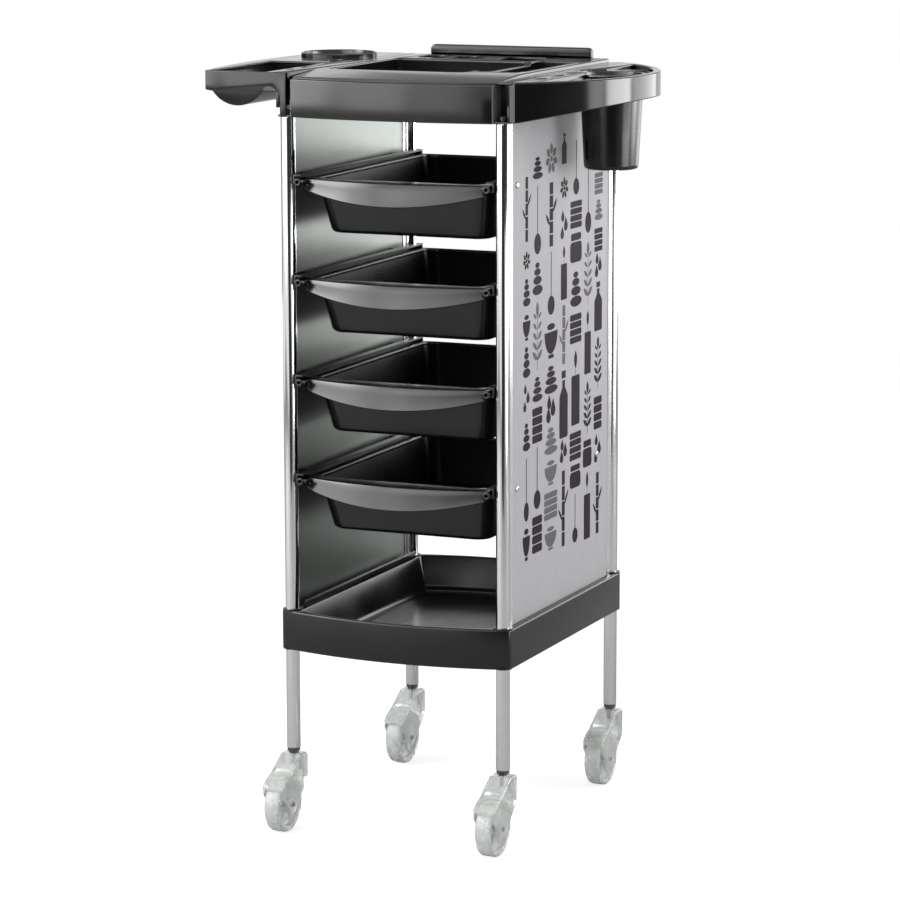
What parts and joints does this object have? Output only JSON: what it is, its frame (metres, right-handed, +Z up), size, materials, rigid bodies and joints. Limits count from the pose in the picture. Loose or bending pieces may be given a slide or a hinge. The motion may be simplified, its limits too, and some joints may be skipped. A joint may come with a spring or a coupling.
{
  "type": "spa trolley cart",
  "caption": "Tall trolley on swivel casters, with sliding drawers between side panels, a base tray, and a top tray with a trough wing and a cup wing.",
  "frame": {"origin": "on the floor, at the middle of the bounding box's underside", "axes": "+Z up, front (drawer handles) toward -Y, +X to the right of someone facing the front"},
  "size_m": [0.492, 0.4284, 0.889],
  "materials": {
    "post_tube": "polished",
    "edge_trim": "satin",
    "panel_sheet": "satin",
    "base_plastic": "gloss",
    "top_plastic": "gloss",
    "wing_plastic": "gloss",
    "cup_plastic": "gloss",
    "drawer_plastic": "gloss",
    "runner_plastic": "matte",
    "plugs": "matte",
    "screws": "zinc",
    "caster_stem": "satin",
    "axle": "satin",
    "caster_hood": "clear",
    "caster_wheel": "clear",
    "caster_tyre": "clear"
  },
  "bodies": {
    "chassis": {"post_front_left": "post_tube", "edge_trim_front_left": "edge_trim", "caster_stem_front_left": "caster_stem", "post_front_right": "post_tube", "edge_trim_front_right": "edge_trim", "caster_stem_front_right": "caster_stem", "post_rear_left": "post_tube", "edge_trim_rear_left": "edge_trim", "caster_stem_rear_left": "caster_stem", "post_rear_right": "post_tube", "edge_trim_rear_right": "edge_trim", "caster_stem_rear_right": "caster_stem", "post_bolts": "screws", "base_screws": "screws", "rail_screws": "screws", "runner_screws_left": "screws", "runner_screws_right": "screws", "wing_screws": "screws", "post_plugs": "plugs", "base_tray": "base_plastic", "top_frame": "top_plastic", "top_insert": "top_plastic", "back_rail": "top_plastic", "side_panel_left": "panel_sheet", "side_panel_right": "panel_sheet", "runner_left_1": "runner_plastic", "runner_left_2": "runner_plastic", "runner_left_3": "runner_plastic", "runner_left_4": "runner_plastic", "runner_right_1": "runner_plastic", "runner_right_2": "runner_plastic", "runner_right_3": "runner_plastic", "runner_right_4": "runner_plastic", "left_wing": "wing_plastic", "right_wing": "wing_plastic"},
    "caster_front_left": {"caster_hood_front_left": "caster_hood", "caster_axle_front_left": "axle"},
    "wheel_front_left": {"caster_wheel_front_left": "caster_wheel", "caster_tyre_front_left": "caster_tyre"},
    "caster_front_right": {"caster_hood_front_right": "caster_hood", "caster_axle_front_right": "axle"},
    "wheel_front_right": {"caster_wheel_front_right": "caster_wheel", "caster_tyre_front_right": "caster_tyre"},
    "caster_rear_left": {"caster_hood_rear_left": "caster_hood", "caster_axle_rear_left": "axle"},
    "wheel_rear_left": {"caster_wheel_rear_left": "caster_wheel", "caster_tyre_rear_left": "caster_tyre"},
    "caster_rear_right": {"caster_hood_rear_right": "caster_hood", "caster_axle_rear_right": "axle"},
    "wheel_rear_right": {"caster_wheel_rear_right": "caster_wheel", "caster_tyre_rear_right": "caster_tyre"},
    "drawer_1": {"drawer_1": "drawer_plastic"},
    "drawer_2": {"drawer_2": "drawer_plastic"},
    "drawer_3": {"drawer_3": "drawer_plastic"},
    "drawer_4": {"drawer_4": "drawer_plastic"},
    "cup": {"cup": "cup_plastic"}
  },
  "joints": [
    {"name": "drawer_1_slide", "type": "slide", "parent": "chassis", "child": "drawer_1", "axis": [0, -1, 0], "range_m": [0, 0.25]},
    {"name": "drawer_2_slide", "type": "slide", "parent": "chassis", "child": "drawer_2", "axis": [0, -1, 0], "range_m": [0, 0.25]},
    {"name": "drawer_3_slide", "type": "slide", "parent": "chassis", "child": "drawer_3", "axis": [0, -1, 0], "range_m": [0, 0.25]},
    {"name": "drawer_4_slide", "type": "slide", "parent": "chassis", "child": "drawer_4", "axis": [0, -1, 0], "range_m": [0, 0.25]},
    {"name": "cup_lift", "type": "slide", "parent": "chassis", "child": "cup", "axis": [0, 0, 1], "range_m": [0, 0.13]},
    {"name": "swivel_front_left", "type": "hinge", "parent": "chassis", "child": "caster_front_left", "pos_m": [-0.127, -0.15175, 0.08], "axis": [0, 0, 1], "continuous": true},
    {"name": "roll_front_left", "type": "hinge", "parent": "caster_front_left", "child": "wheel_front_left", "pos_m": [-0.127, -0.18175, 0.0325], "axis": [1, 0, 0], "continuous": true},
    {"name": "swivel_front_right", "type": "hinge", "parent": "chassis", "child": "caster_front_right", "pos_m": [0.137, -0.15175, 0.08], "axis": [0, 0, 1], "continuous": true},
    {"name": "roll_front_right", "type": "hinge", "parent": "caster_front_right", "child": "wheel_front_right", "pos_m": [0.137, -0.18175, 0.0325], "axis": [1, 0, 0], "continuous": true},
    {"name": "swivel_rear_left", "type": "hinge", "parent": "chassis", "child": "caster_rear_left", "pos_m": [-0.127, 0.18625, 0.08], "axis": [0, 0, 1], "continuous": true},
    {"name": "roll_rear_left", "type": "hinge", "parent": "caster_rear_left", "child": "wheel_rear_left", "pos_m": [-0.127, 0.15625, 0.0325], "axis": [1, 0, 0], "continuous": true},
    {"name": "swivel_rear_right", "type": "hinge", "parent": "chassis", "child": "caster_rear_right", "pos_m": [0.137, 0.18625, 0.08], "axis": [0, 0, 1], "continuous": true},
    {"name": "roll_rear_right", "type": "hinge", "parent": "caster_rear_right", "child": "wheel_rear_right", "pos_m": [0.137, 0.15625, 0.0325], "axis": [1, 0, 0], "continuous": true}
  ]
}
